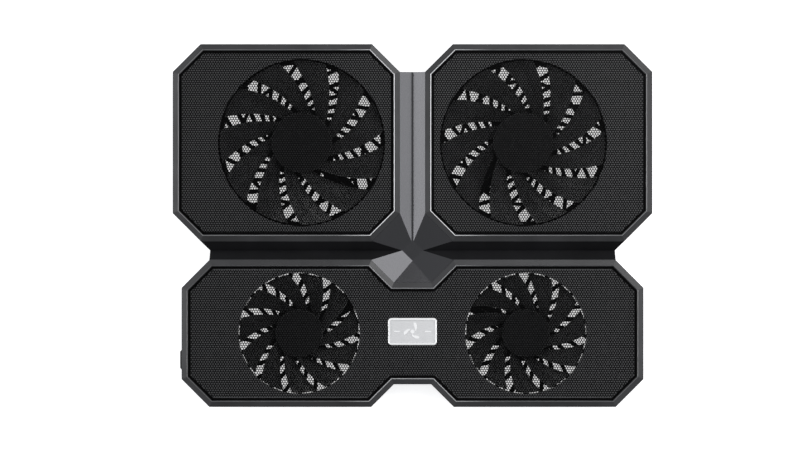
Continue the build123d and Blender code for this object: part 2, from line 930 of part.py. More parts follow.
def core_radius(kind):
    """Outer radius of the stator core, inside the magnet ring."""
    return fan_types[kind]["hub"] - hub_wall - seat_gap - magnet_thickness - air_gap


def stator_core(kind):
    """Laminated core with its poles."""
    outer = core_radius(kind)
    low = core_low()
    high = low + core_stack_height
    shoe_ring = cylinder(0, 0, outer, low, high)
    shoe_ring -= cylinder(0, 0, outer - pole_shoe_thickness, low, high)
    core = cylinder(0, 0, tube_radius() + core_yoke, low, high) + shoe_ring
    arm = box((tube_radius(), -pole_width / 2, low), (outer - air_gap, pole_width / 2, high))
    slit_low = (outer - pole_shoe_thickness - cut_margin, -pole_slit / 2, low - cut_margin)
    slit = box(slit_low, (outer + cut_margin, pole_slit / 2, high + cut_margin))
    turn = 360 / pole_count
    for i in range(pole_count):
        core += Rot(0, 0, i * turn) * arm
        core -= Rot(0, 0, (i + 0.5) * turn) * slit
    return core - cylinder(0, 0, tube_radius() + seat_gap, low - cut_margin, high + cut_margin)


def coils(kind):
    """One winding round each pole."""
    half = pole_width / 2 + coil_wall
    outer = math.sqrt((core_radius(kind) - pole_shoe_thickness) ** 2 - half**2) - coil_tip_gap
    inner = tube_radius() + core_yoke + coil_yoke_gap
    low = core_low()
    high = low + core_stack_height
    arm_half = pole_width / 2 + seat_gap
    winding = box((inner, -half, low - coil_overhang), (outer, half, high + coil_overhang))
    winding -= box(
        (inner - cut_margin, -arm_half, low - seat_gap),
        (outer + cut_margin, arm_half, high + seat_gap),
    )
    winding = fillet(winding.edges().filter_by(Axis.X).group_by(Axis.Z)[-1], coil_round)
    return Compound([Rot(0, 0, i * 360 / pole_count) * winding for i in range(pole_count)])


def screw(radius, head_radius, head_height, length):
    """A pan-head screw that points up, with a cross recess in its head; its seat is at 0."""
    head = cylinder(0, 0, head_radius, -head_height, 0)
    head = chamfer(head.edges().group_by(Axis.Z)[0], screw_head_chamfer)
    body = head + cylinder(0, 0, radius, 0, length)
    arm = head_radius - recess_edge
    slot = recess_width / 2
    depth = head_height / 2
    body -= box((-arm, -slot, -head_height), (arm, slot, -head_height + depth))
    return body - box((-slot, -arm, -head_height), (slot, arm, -head_height + depth))


def shell_screws():
    """The screws that hold the two shells together."""
    one = screw(shell_screw_radius, shell_screw_head_radius, shell_screw_head_height, shell_screw_length)
    return Compound([Pos(x, y, shell_screw_seat()) * one for x, y in screw_points])


def small_screws():
    """The screws that hold the motor bases from below and the control board from above."""
    one = screw(small_screw_radius, small_screw_head_radius, small_screw_head_height, small_screw_length)
    group = [Pos(x, y, small_screw_seat()) * one for x, y in all_fan_screw_points()]
    for x, y in board_post_points:
        group.append(Pos(x, y, board_top_level()) * Rot(180, 0, 0) * one)
    return Compound(group)


def leg(side):
    """A fold-out leg, lying flat with its free end towards the front."""
    x = side * leg_x
    half = leg_width / 2
    low = leg_pivot_z - leg_knuckle_radius
    high = low + leg_thickness
    end = leg_pivot_y - leg_length + leg_tip_length
    bar = box((x - half, end, low), (x + half, leg_pivot_y, high))
    knuckle = pin_along_x(x, leg_knuckle_radius, half)
    inner = half - leg_skin
    tongue_end = end - leg_tongue_length
    tongue = box((x - inner, tongue_end, low + leg_tongue_skin), (x + inner, end, high - leg_tongue_skin))
    pocket_start = end + leg_tongue_length
    pocket_end = leg_pivot_y - leg_knuckle_radius - leg_tongue_length
    pocket_floor = high - leg_pocket_depth
    pocket = box((x - inner, pocket_start, pocket_floor), (x + inner, pocket_end, high + cut_margin))
    rib_half = leg_rib_thickness / 2
    rib = box((x - rib_half, pocket_start, pocket_floor), (x + rib_half, pocket_end, high))
    body = bar + knuckle + tongue
    body -= pocket
    body += rib
    return body - pin_along_x(x, leg_pin_radius + running_gap, half + cut_margin)


def leg_tip(side):
    """Rubber shoe on the free end of a leg."""
    x = side * leg_x
    half = leg_width / 2
    low = leg_pivot_z - leg_knuckle_radius
    high = low + leg_thickness
    end = leg_pivot_y - leg_length + leg_tip_length
    shoe = box((x - half, end - leg_tip_length, low), (x + half, end, high))
    shoe = fillet(shoe.edges().filter_by(Axis.X).group_by(Axis.Y)[0], leg_tip_round)
    inner = half - leg_skin + seat_gap
    tongue_end = end - leg_tongue_length - seat_gap
    skin = leg_tongue_skin - seat_gap
    return shoe - box((x - inner, tongue_end, low + skin), (x + inner, end, high - skin))


def leg_pin(side):
    """Steel pin that a leg turns on."""
    return pin_along_x(side * leg_x, leg_pin_radius, leg_pin_span())


def rubber_feet():
    """The four feet, each seated in a shallow recess."""
    foot = cylinder(0, 0, foot_radius, 0, floor_under + foot_seat_depth)
    foot = fillet(foot.edges().group_by(Axis.Z)[0], foot_round)
    return Compound([Pos(x, y, 0) * foot for x, y in foot_points])


def mode_button():
    """Side button: cap through the wall, flange behind it and stem to the switch."""
    outer_x = -front_half_width - button_proud
    inner_x = button_inner_x()
    half = button_length / 2
    cap = [
        (inner_x, button_y - half),
        (-front_half_width, button_y - half),
        (outer_x, button_y - half + button_end_slope),
        (outer_x, button_y + half - button_end_slope),
        (-front_half_width, button_y + half),
        (inner_x, button_y + half),
    ]
    body = slab(polygon(cap), button_z - button_height / 2, button_z + button_height / 2)
    outer_edges = body.edges().filter_by(Axis.Y).group_by(Axis.X)[0]
    body = chamfer(outer_edges, button_edge_chamfer)
    reach = (half + button_flange, button_height / 2 + button_flange / 2)
    body += box(
        (inner_x, button_y - reach[0], button_z - reach[1]),
        (inner_x + button_flange_thickness, button_y + reach[0], button_z + reach[1]),
    )
    stem_low = (inner_x, button_y - stem_half, button_z - stem_half)
    return body + box(stem_low, (button_stem_end_x(), button_y + stem_half, button_z + stem_half))


def switch_plunger():
    """Plunger that the button's stem pushes into the switch."""
    rod = Cylinder(plunger_radius, plunger_length, align=(Align.CENTER, Align.CENTER, Align.MIN))
    return Pos(button_stem_end_x(), button_y, button_z) * Rot(0, 90, 0) * rod


def switch_body():
    """Push switch with a blind bore for its plunger."""
    face_x = switch_face_x()
    half = switch_size / 2
    low = (face_x, button_y - half, button_z - half)
    body = box(low, (face_x + switch_depth, button_y + half, button_z + half))
    upright = (Align.CENTER, Align.CENTER, Align.MIN)
    bore_depth = plunger_in_switch + button_travel + plunger_floor_gap
    bore = Cylinder(plunger_radius + running_gap, bore_depth, align=upright)
    return body - Pos(face_x, button_y, button_z) * Rot(0, 90, 0) * bore


def switch_board():
    """Small upright board behind the switch."""
    x = switch_board_x()
    low = (x, button_y - switch_board_half, switch_board_low())
    high = (x + board_thickness, button_y + switch_board_half, button_z + switch_board_above_button)
    return box(low, high)


def control_board():
    """Control board on its three posts."""
    low = floor_top + board_post_height
    high = board_top_level()
    half = (board_width / 2, board_depth / 2)
    board = box((-half[0], board_y - half[1], low), (half[0], board_y + half[1], high))
    for x, y in board_post_points:
        board -= cylinder(x, y, small_screw_radius + seat_gap, low - cut_margin, high + cut_margin)
    return board


def board_top_level():
    """Upper face of the control board."""
    return floor_top + board_post_height + board_thickness


def header_z():
    """Height at which the leads meet their headers."""
    return board_top_level() + header_height / 2


def board_parts():
    """Lead headers, the controller chip and a capacitor on the control board."""
    low = board_top_level()
    rear = board_y + board_depth / 2
    front = board_y - board_depth / 2
    left = -board_width / 2
    half = header_width / 2
    group = []
    for x in (-header_x, 0.0, header_x):
        group.append(box((x - half, rear - header_depth, low), (x + half, rear, low + header_height)))
    for x in (-header_x, header_x):
        group.append(box((x - half, front, low), (x + half, front + header_depth, low + header_height)))
    side_low = (left, switch_header_y - half, low)
    group.append(box(side_low, (left + header_depth, switch_header_y + half, low + header_height)))
    chip = chip_size / 2
    group.append(box((-chip, board_y - chip, low), (chip, board_y + chip, low + chip_height)))
    can = cylinder(capacitor_x, board_y, capacitor_radius, low, low + header_height)
    group.append(chamfer(can.edges().group_by(Axis.Z)[-1], capacitor_chamfer))
    return Compound(group)


def usb_sockets():
    """Folded metal shells of the two rear sockets."""
    rear = half_depth - socket_rear_inset
    back = usb_board_front() + socket_back_wall
    half = (socket_width / 2, socket_height / 2)
    inner_half = (half[0] - socket_wall, half[1] - socket_wall)
    z = socket_z()
    group = []
    for x in socket_points():
        outer = box((x - half[0], usb_board_front(), z - half[1]), (x + half[0], rear, z + half[1]))
        inner_low = (x - inner_half[0], back, z - inner_half[1])
        inner_high = (x + inner_half[0], rear + cut_margin, z + inner_half[1])
        group.append(outer - box(inner_low, inner_high))
    return Compound(group)


def usb_tongues():
    """Contact tongues inside the two rear sockets."""
    back = usb_board_front() + socket_back_wall
    high = socket_z() + socket_height / 2 - socket_wall - tongue_top_gap
    half = tongue_half_width
    group = []
    for x in socket_points():
        group.append(box((x - half, back, high - tongue_thickness), (x + half, back + tongue_length, high)))
    return Compound(group)


def usb_board_front():
    """Front edge of the board that carries the rear sockets."""
    return half_depth - socket_rear_inset - socket_length


def usb_board():
    """Board that carries the rear sockets."""
    low = socket_board_low()
    rear = half_depth - wall - socket_board_wall_gap
    half = socket_board_half
    return box((socket_x - half, usb_board_front(), low), (socket_x + half, rear, low + board_thickness))


def rounded_plate(width, depth, radius, low, high):
    """A plate with rounded corners on the badge's centre."""
    return Pos(0, badge_y, low) * extrude(RectangleRounded(width, depth, radius), high - low)


def badge_bezel():
    """Raised rim of the badge."""
    top = mesh_top + badge_rim_height
    outer = rounded_plate(badge_width, badge_depth, badge_corner, mesh_top, top)
    outer = chamfer(outer.edges().group_by(Axis.Z)[-1], badge_rim_chamfer)
    inner_size = (badge_width - 2 * badge_rim, badge_depth - 2 * badge_rim)
    return outer - rounded_plate(*inner_size, badge_corner - badge_rim, mesh_top, top)


def badge_plate():
    """Plain plate inside the badge's rim."""
    inset = badge_rim + seat_gap
    inner_size = (badge_width - 2 * inset, badge_depth - 2 * inset)
    return rounded_plate(*inner_size, badge_corner - badge_rim, mesh_top, mesh_top + badge_plate_height)


def lead(name, points, diameter):
    """A lead laid along straight runs that tangent arcs join."""
    corners = [Vector(*point) for point in points]
    runs = [b - a for a, b in zip(corners, corners[1:])]
    radii = []
    for before, after in zip(runs, runs[1:]):
        turn = math.radians(before.get_angle(after))
        radii.append(0.45 * min(before.length, after.length) / math.tan(turn / 2))
    path = FilletPolyline(*corners, radius=radii)
    section = Plane(origin=corners[0], z_dir=runs[0]) * Circle(diameter / 2)
    tube = sweep(section, path=path)
    expected = math.pi * diameter**2 / 4 * path.length
    print(name, "length", round(path.length, 1), "radii", [round(r, 1) for r in radii])
    print(name, "volume over section times length", round(tube.volume / expected, 4))
    return tube


def along(x, y, angle, distance, z):
    """A point at a distance from a fan's centre in one direction."""
    turn = math.radians(angle)
    return (x + distance * math.cos(turn), y + distance * math.sin(turn), z)


def fan_lead(name):
    """The lead of one fan, from its motor base along its channel to the control board."""
    kind, x, y, _, channel = fans[name]
    size = fan_types[kind]
    z = floor_top + lead_floor_gap + fan_lead_diameter / 2
    past_shroud = size["opening"] + shroud_wall + size["lead_past_shroud"]
    side = math.copysign(1, x)
    rear = board_y + board_depth / 2
    front = board_y - board_depth / 2
    edge, approach = (rear, rear + lead_straight_at_board)
    if kind == "small":
        edge, approach = (front, front - lead_straight_at_board)
    points = [
        along(x, y, channel, size["base"] + lead_block_end, z),
        along(x, y, channel, past_shroud, z),
        (side * header_x, approach, header_z()),
        (side * header_x, edge, header_z()),
    ]
    return lead(name, points, fan_lead_diameter)


def switch_lead():
    """The lead from the control board to the mode switch."""
    z = header_z()
    end_x = switch_board_x() + board_thickness
    points = [
        (-board_width / 2, switch_header_y, z),
        (-board_width / 2 - 18.0, switch_header_y, z),
        (-78.0, valley_y - 8.7, z - 1.0),
        (-116.0, valley_y - 5.2, z - 1.0),
        (-144.0, valley_y - 13.2, z - 0.5),
        (-154.0, valley_y - 38.2, z),
        (end_x + 14.5, button_y + 14.0, z + 1.5),
        (end_x + 14.5, button_y, button_z),
        (end_x, button_y, button_z),
    ]
    return lead("switch_lead", points, switch_lead_diameter)


def usb_lead():
    """The power lead from the control board along the spine to the rear sockets' board."""
    z = header_z()
    board_z = socket_board_low() + board_thickness / 2
    rear = board_y + board_depth / 2
    end_x = socket_x + usb_lead_offset
    end_y = usb_board_front()
    points = [
        (0.0, rear, z),
        (0.0, rear + 18.0, z),
        (-3.0, large_fan_y - 25.7, z - 1.5),
        (2.0, large_fan_y + 8.3, z - 2.0),
        (-3.0, large_fan_y + 32.3, z - 1.0),
        (-16.0, large_fan_y + 42.3, board_z + 0.8),
        (-31.0, large_fan_y + 46.8, board_z + 0.3),
        (end_x, end_y - usb_lead_straight, board_z),
        (end_x, end_y, board_z),
    ]
    return lead("usb_lead", points, usb_lead_diameter)


def place_fans():
    """All pieces of the four fans, each at its own centre and angle."""
    for name, (kind, x, y, gap_angle, channel) in fans.items():
        spot = Pos(x, y, 0)
        base_spot = spot * Rot(0, 0, channel)
        parts[name + "_rotor"] = spot * Rot(0, 0, gap_angle) * rotor(kind)
        parts[name + "_shaft"] = spot * shaft()
        parts[name + "_magnet"] = spot * magnet_ring(kind)
        parts[name + "_motor_base"] = base_spot * motor_base(kind)
        parts[name + "_bearing"] = spot * bearing()
        parts[name + "_stator_core"] = base_spot * stator_core(kind)
        parts[name + "_coils"] = base_spot * coils(kind)
        parts[name + "_lead"] = fan_lead(name)


def place_legs():
    """Both legs with their pins and rubber tips."""
    for name, side in (("left", -1), ("right", 1)):
        parts["leg_" + name] = leg(side)
        parts["leg_tip_" + name] = leg_tip(side)
        parts["leg_pin_" + name] = leg_pin(side)


parts["top_frame"] = top_frame()
parts["bottom_shell"] = bottom_shell()
parts["centre_trim"] = centre_trim()
for mesh_name, mesh_outline in panel_outlines().items():
    parts[mesh_name] = mesh_panel(mesh_outline)
parts["badge_bezel"] = badge_bezel()
parts["badge_plate"] = badge_plate()
place_fans()
place_legs()
parts["rubber_feet"] = rubber_feet()
parts["mode_button"] = mode_button()
parts["switch_plunger"] = switch_plunger()
parts["switch_body"] = switch_body()
parts["switch_board"] = switch_board()
parts["switch_lead"] = switch_lead()
parts["control_board"] = control_board()
parts["board_parts"] = board_parts()
parts["usb_sockets"] = usb_sockets()
parts["usb_tongues"] = usb_tongues()
parts["usb_board"] = usb_board()
parts["usb_lead"] = usb_lead()
parts["shell_screws"] = shell_screws()
parts["small_screws"] = small_screws()

os.makedirs("parts", exist_ok=True)
for node, shape in parts.items():
    export_step(shape, f"parts/{node}.step")
print(len(parts), "nodes")
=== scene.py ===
"""Looks of the laptop cooling pad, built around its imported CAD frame. All lengths are in metres."""

import json
import math

import bmesh
import bpy
import numpy as np
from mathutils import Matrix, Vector


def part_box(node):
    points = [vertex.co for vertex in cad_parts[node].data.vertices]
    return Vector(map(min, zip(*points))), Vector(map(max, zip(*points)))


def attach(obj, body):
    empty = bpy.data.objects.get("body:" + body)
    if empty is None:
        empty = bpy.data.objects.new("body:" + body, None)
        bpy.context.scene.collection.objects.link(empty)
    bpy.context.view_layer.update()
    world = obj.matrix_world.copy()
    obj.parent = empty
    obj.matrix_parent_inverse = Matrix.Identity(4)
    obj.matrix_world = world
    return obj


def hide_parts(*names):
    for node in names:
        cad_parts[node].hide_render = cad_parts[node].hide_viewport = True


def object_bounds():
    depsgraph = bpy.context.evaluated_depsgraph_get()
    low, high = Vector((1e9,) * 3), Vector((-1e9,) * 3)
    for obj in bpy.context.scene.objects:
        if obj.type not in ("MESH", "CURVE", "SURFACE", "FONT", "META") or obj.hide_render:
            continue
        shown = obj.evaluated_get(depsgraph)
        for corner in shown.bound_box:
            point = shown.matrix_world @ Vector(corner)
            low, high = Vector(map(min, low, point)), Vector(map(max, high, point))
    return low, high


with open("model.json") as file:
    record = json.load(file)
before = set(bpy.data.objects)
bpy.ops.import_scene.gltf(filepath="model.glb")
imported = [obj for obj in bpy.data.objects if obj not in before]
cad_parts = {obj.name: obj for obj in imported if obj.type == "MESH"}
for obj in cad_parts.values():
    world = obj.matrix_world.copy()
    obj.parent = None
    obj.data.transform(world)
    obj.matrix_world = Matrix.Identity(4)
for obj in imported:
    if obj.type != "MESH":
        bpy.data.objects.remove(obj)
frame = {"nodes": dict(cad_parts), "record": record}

cad_low, cad_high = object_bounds()
HOUSING = "housing_body"
scene = bpy.context.scene

# Perforated sheet.
HOLE_PITCH = 0.0020
HOLE_FLATS = 0.00134
HEM_WIDTH = 0.0020
HEM_RISE = 0.00006
HOLE_START_SHARE = 0.62
STRAIGHT_LIMIT = 1e-6

# Camera, far enough away that the view is nearly parallel.
VIEW_WIDTH = 0.6336
CAMERA_HEIGHT = 4.2
SENSOR_MM = 36.0
CAMERA_X = -0.0099
CAMERA_Y = 0.0004

# Surround light: brightness of the band by the sine of its height, and how strong it is.
SURROUND_BAND = [(0.0, 0.05), (0.32, 0.15), (0.42, 1.0), (0.64, 1.0), (0.76, 0.10), (1.0, 0.0)]
BAND_ACROSS = 0.32
BAND_REAR = 0.20
BAND_STRENGTH = 1.35
BASE_STRENGTH = 0.08
SURROUND_TINT = (0.95, 0.97, 1.0, 1.0)

# Surface detail of the moulded plastics: sizes of the grain and of the patches, and the grain's depth.
GRAIN_SIZE = 0.0004
GRAIN_DEPTH = 0.000012
PATCH_SIZE = 0.035
GLOSS_PATCH_SIZE = 0.012

# Shell: where the painted highlight on its rim edges fades out sideways and in front, and how far down
# each band starts.
EDGE_FADE_START = 0.030
EDGE_FADE_END = 0.060
EDGE_FRONT_START = -0.025
EDGE_FRONT_END = -0.015
CREST_DEPTH = 0.0005
PAINT_DEPTH = 0.00015
DECK_DEPTH = 0.00005

# Badge mark, as shares of the plate's size, and its raised height.
MARK_RADIUS_SHARE = 0.40
MARK_HUB_SHARE = 0.22
MARK_HUB_SIDES = 24
MARK_INNER_SHARE = 0.30
MARK_BLADES = 3
MARK_BAR_GAP = 1.35
MARK_BAR_REACH = 0.42
MARK_BAR_HALF = 0.0005
MARK_RISE = 0.0003
PETAL_START = 0.25
PETAL_SWEEP = 0.95
PETAL_WIDTH = 0.62
PETAL_STEPS = 8

# Socket contacts.
CONTACT_COUNT = 4
CONTACT_PITCH = 0.0022
CONTACT_HALF = 0.0005
CONTACT_DEPTH = 0.00015
CONTACT_SETBACK = 0.0006
TONGUE_HALF = 0.0055

# Floor.
FLOOR_HALF = 4.0
FLOOR_GAP = 0.0002
FLOOR_GLOW = 0.72


def new_object(name, mesh):
    """Links a mesh into the scene under a name."""
    piece = bpy.data.objects.new(name, mesh)
    scene.collection.objects.link(piece)
    return piece


# ---------------------------------------------------------------- materials


class Nodes:
    """A short way to write a material's node tree."""

    def __init__(self, name):
        self.material = bpy.data.materials.new(name)
        self.material.use_nodes = True
        self.tree = self.material.node_tree
        self.shader = self.tree.nodes["Principled BSDF"]
        self.place = self.add("ShaderNodeTexCoord").outputs["Object"]

    def add(self, kind, **inputs):
        """A node with its unlinked inputs set, or linked where a socket is given."""
        node = self.tree.nodes.new(kind)
        for key, value in inputs.items():
            self.put(node, key.replace("_", " "), value)
        return node

    def put(self, node, key, value):
        """Sets or links one input of a node."""
        if isinstance(value, bpy.types.NodeSocket):
            self.tree.links.new(value, node.inputs[key])
        else:
            node.inputs[key].default_value = value

    def noise(self, size, detail=3.0, stretch=None):
        """Noise whose features are about one size across, in metres."""
        place = self.place
        if stretch:
            mapping = self.add("ShaderNodeMapping", Vector=place)
            mapping.inputs["Scale"].default_value = stretch
            place = mapping.outputs["Vector"]
        node = self.add("ShaderNodeTexNoise", Vector=place, Scale=1 / size, Detail=detail)
        return node.outputs["Fac"]

    def ramp(self, value, low, high, start, end):
        """Maps a value from one range to another, clamped."""
        node = self.add("ShaderNodeMapRange", Value=value)
        node.inputs["From Min"].default_value = low
        node.inputs["From Max"].default_value = high
        node.inputs["To Min"].default_value = start
        node.inputs["To Max"].default_value = end
        return node.outputs["Result"]

    def times(self, first, second):
        """Multiplies two values."""
        node = self.add("ShaderNodeMath", Value=first)
        node.operation = "MULTIPLY"
        self.put(node, 1, second)
        return node.outputs[0]

    def mix(self, factor, first, second):
        """Mixes two colours."""
        node = self.tree.nodes.new("ShaderNodeMix")
        node.data_type = "RGBA"
        self.put(node, 0, factor)
        for index, colour in ((6, first), (7, second)):
            if not isinstance(colour, bpy.types.NodeSocket):
                colour = (*colour, 1.0)
            self.put(node, index, colour)
        return node.outputs[2]

    def axes(self, source):
        """The three parts of a direction or place."""
        return self.add("ShaderNodeSeparateXYZ", Vector=source).outputs

    def facing_up(self):
        """How far the surface faces upwards."""
        return self.axes(self.add("ShaderNodeNewGeometry").outputs["Normal"])["Z"]

    def size_of(self, value):
        """A value without its sign."""
        node = self.add("ShaderNodeMath", Value=value)
        node.operation = "ABSOLUTE"
        return node.outputs[0]

    def bump(self, height, depth):
        """Feeds a height into the shader's normal, as a depth in metres."""
        node = self.add("ShaderNodeBump", Height=height, Distance=depth)
        node.inputs["Strength"].default_value = 1.0
        self.put(self.shader, "Normal", node.outputs["Normal"])

    def uneven_gloss(self, size, detail, low, high):
        """Roughness that wanders between two values."""
        return self.ramp(self.noise(size, detail), 0.3, 0.7, low, high)

    def patches(self, size):
        """Broad soft patches, from 0 to 1."""
        return self.ramp(self.noise(size, 3.0), 0.35, 0.65, 0.0, 1.0)

    def finish(self, **inputs):
        """Sets the shader's inputs and gives the material."""
        for key, value in inputs.items():
            self.put(self.shader, key.replace("_", " "), value)
        return self.material


def moulded_plastic(name, colour, roughness, depth=GRAIN_DEPTH, tint=0.35):
    """Injection-moulded plastic: spark-eroded grain, faint flow marks and uneven gloss."""
    n = Nodes(name)
    shade = n.ramp(n.noise(PATCH_SIZE, 3.0), 0.35, 0.65, 0.0, tint)
    lighter = tuple(min(1.0, c * 1.5 + 0.003) for c in colour)
    n.bump(n.noise(GRAIN_SIZE, 2.0), depth)
    gloss = n.uneven_gloss(GLOSS_PATCH_SIZE, 4.0, roughness - 0.05, roughness + 0.06)
    return n.finish(Base_Color=n.mix(shade, colour, lighter), Roughness=gloss, Specular_IOR_Level=0.5)


def shell_plastic(name, deck_level, paint_level, crest_level):
    """Black moulded shell: decks under the mesh painted light grey as painted light, and satin grey rims
    with a painted highlight on their steep top edges.
    """
    n = Nodes(name)
    place = n.axes(n.place)
    height = place["Z"]
    upward = n.facing_up()
    broad = n.patches(PATCH_SIZE)
    black = n.mix(broad, (0.0040, 0.0040, 0.0045), (0.007, 0.007, 0.008))
    grey = n.mix(broad, (0.018, 0.018, 0.019), (0.030, 0.030, 0.032))
    # Painted light: the upward deck faces under the mesh are painted light grey, so the holes show light
    # dots.
    painted_light_deck = n.ramp(height, deck_level - 2 * DECK_DEPTH, deck_level - DECK_DEPTH, 0.0, 1.0)
    level = n.ramp(upward, 0.97, 0.99, 0.0, 1.0)
    body = n.mix(n.times(painted_light_deck, level), black, (0.115, 0.115, 0.118))
    painted = n.ramp(height, paint_level - PAINT_DEPTH - 0.0002, paint_level - PAINT_DEPTH, 0.0, 1.0)
    # Painted highlight: the steep faces at the top of the rims are painted near-white, fading out sideways
    # and towards the front.
    steep = n.ramp(upward, 0.78, 0.86, 1.0, 0.0)
    crest = n.ramp(height, crest_level - CREST_DEPTH - 0.0001, crest_level - CREST_DEPTH, 0.0, 1.0)
    highlight_side_fade = n.ramp(n.size_of(place["X"]), EDGE_FADE_START, EDGE_FADE_END, 1.0, 0.22)
    highlight_front_fade = n.ramp(place["Y"], EDGE_FRONT_START, EDGE_FRONT_END, 0.5, 1.0)
    edge = n.times(n.times(steep, crest), n.times(highlight_side_fade, highlight_front_fade))
    n.bump(n.noise(GRAIN_SIZE, 2.0), GRAIN_DEPTH)
    colour = n.mix(edge, n.mix(painted, body, grey), (0.85, 0.85, 0.87))
    gloss = n.uneven_gloss(GLOSS_PATCH_SIZE, 4.0, 0.32, 0.42)
    shine = n.ramp(painted, 0.0, 1.0, 0.14, 0.5)
    return n.finish(Base_Color=colour, Roughness=gloss, Specular_IOR_Level=shine)


def fan_plastic(name):
    """Moulded fan plastic: the sloped blades are painted lighter grey in soft patches, a painted sheen
    that shows through the mesh; the flat hub stays darker.
    """
    n = Nodes(name)
    flat = n.ramp(n.facing_up(), 0.985, 0.995, 0.0, 1.0)
    # Painted sheen: the sloped blades get a light grey so they show through the mesh; flat hub faces keep
    # the dark plastic colour.
    blade = n.mix(n.patches(0.02), (0.11, 0.11, 0.112), (0.17, 0.17, 0.172))
    n.bump(n.noise(0.0006, 2.0), 0.00001)
    gloss = n.uneven_gloss(GLOSS_PATCH_SIZE, 4.0, 0.24, 0.34)
    return n.finish(Base_Color=n.mix(flat, blade, (0.030, 0.030, 0.031)), Roughness=gloss)


def satin_paint(name, colour, roughness, metallic):
    """Satin metallic paint with fine flake and a little orange peel."""
    n = Nodes(name)
    flake = n.noise(0.00018, 1.0)
    peel = n.noise(0.0016, 2.0)
    lighter = tuple(min(1.0, c * 1.35) for c in colour)
    n.bump(peel, 0.000006)
    gloss = n.ramp(flake, 0.3, 0.7, roughness - 0.03, roughness + 0.03)
    shade = n.ramp(flake, 0.45, 0.7, 0.0, 0.25)
    return n.finish(Base_Color=n.mix(shade, colour, lighter), Roughness=gloss, Metallic=metallic)


def powder_coat(name, colour, roughness):
    """Powder-coated sheet steel."""
    n = Nodes(name)
    n.bump(n.noise(0.00035, 2.0), 0.00001)
    lighter = tuple(c * 1.8 for c in colour)
    patch = n.ramp(n.noise(0.02, 3.0), 0.35, 0.65, 0.0, 0.5)
    gloss = n.uneven_gloss(0.001, 2.0, roughness - 0.05, roughness + 0.05)
    return n.finish(Base_Color=n.mix(patch, colour, lighter), Roughness=gloss, Specular_IOR_Level=0.035)


def brushed_metal(name, colour, roughness, metallic=1.0):
    """Metal with fine straight brush lines from left to right."""
    n = Nodes(name)
    lines = n.noise(0.00022, 2.0, (0.04, 1.0, 1.0))
    n.bump(lines, 0.000004)
    darker = tuple(c * 0.8 for c in colour)
    gloss = n.ramp(lines, 0.3, 0.7, roughness - 0.06, roughness + 0.08)
    shade = n.ramp(lines, 0.35, 0.65, 0.0, 0.6)
    return n.finish(Base_Color=n.mix(shade, colour, darker), Roughness=gloss, Metallic=metallic)


def wound_copper(name):
    """Enamelled copper turns, as fine ribs up the coil."""
    n = Nodes(name)
    wave = n.add("ShaderNodeTexWave", Vector=n.place, Scale=1 / 0.0011)
    wave.bands_direction = "Z"
    n.bump(wave.outputs["Fac"], 0.00006)
    shade = n.mix(wave.outputs["Fac"], (0.30, 0.10, 0.03), (0.75, 0.32, 0.12))
    return n.finish(Base_Color=shade, Roughness=0.3, Metallic=0.9)


def circuit_board(name):
    """Green solder mask with paler tracks under it."""
    n = Nodes(name)
    cell = n.add("ShaderNodeTexVoronoi", Vector=n.place, Scale=420.0)
    cell.feature = "DISTANCE_TO_EDGE"
    track = n.ramp(cell.outputs["Distance"], 0.02, 0.06, 0.5, 0.0)
    n.bump(n.noise(0.0008, 2.0), 0.000008)
    return n.finish(Base_Color=n.mix(track, (0.01, 0.09, 0.035), (0.05, 0.22, 0.08)), Roughness=0.35)


def rubber(name, colour=(0.014, 0.014, 0.014), roughness=0.72):
    """Matte rubber with fine pitting and a little dust."""
    n = Nodes(name)
    n.bump(n.noise(0.0005, 3.0), 0.00003)
    dust = n.ramp(n.noise(0.006, 4.0), 0.5, 0.75, 0.0, 0.35)
    gloss = n.uneven_gloss(0.002, 2.0, roughness - 0.06, roughness + 0.08)
    return n.finish(Base_Color=n.mix(dust, colour, (0.05, 0.05, 0.048)), Roughness=gloss)


def make_materials():
    """One material for each slot of the record."""
    deck_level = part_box("mesh_left")[0].z
    paint_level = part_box("centre_trim")[1].z
    return {
        "housing": shell_plastic("moulded_black", deck_level, paint_level, cad_high.z),
        "trim_grey": satin_paint("gunmetal_paint", (0.072, 0.072, 0.076), 0.23, 0.88),
        "mesh_black": powder_coat("powder_black", (0.0017, 0.0017, 0.0018), 0.30),
        "badge_white": moulded_plastic("gloss_white", (0.86, 0.86, 0.86), 0.18, depth=0.000002, tint=0.1),
        "badge_silver": brushed_metal("brushed_silver", (0.78, 0.78, 0.785), 0.34, metallic=0.4),
        "fan_black": fan_plastic("fan_plastic"),
        "steel": brushed_metal("plated_steel", (0.58, 0.58, 0.60), 0.28),
        "magnet": rubber("bonded_ferrite", (0.03, 0.028, 0.026), 0.6),
        "brass": brushed_metal("sintered_bronze", (0.62, 0.42, 0.18), 0.4),
        "lamination": brushed_metal("stamped_laminations", (0.36, 0.36, 0.37), 0.42),
        "copper_wire": wound_copper("enamelled_copper"),
        "lead_sheath": rubber("lead_sheath", (0.012, 0.012, 0.012), 0.5),
        "rubber": rubber("matte_rubber"),
        "white_plastic": moulded_plastic("moulded_white", (0.74, 0.74, 0.70), 0.4),
        "circuit_board": circuit_board("solder_mask"),
    }


def paint(piece, slot, materials):
    """Gives a piece one slot's material."""
    piece.data.materials.clear()
    piece.data.materials.append(materials[slot])


def paint_cad_nodes(materials):
    """Every CAD node gets the procedural material of its slot."""
    for row in frame["record"]["subparts"]:
        node = frame["nodes"][row["node"]]
        for slot in node.material_slots:
            slot.link = "OBJECT"
            slot.material = materials[row["material_slot"]]


# ---------------------------------------------------------------- perforated sheets


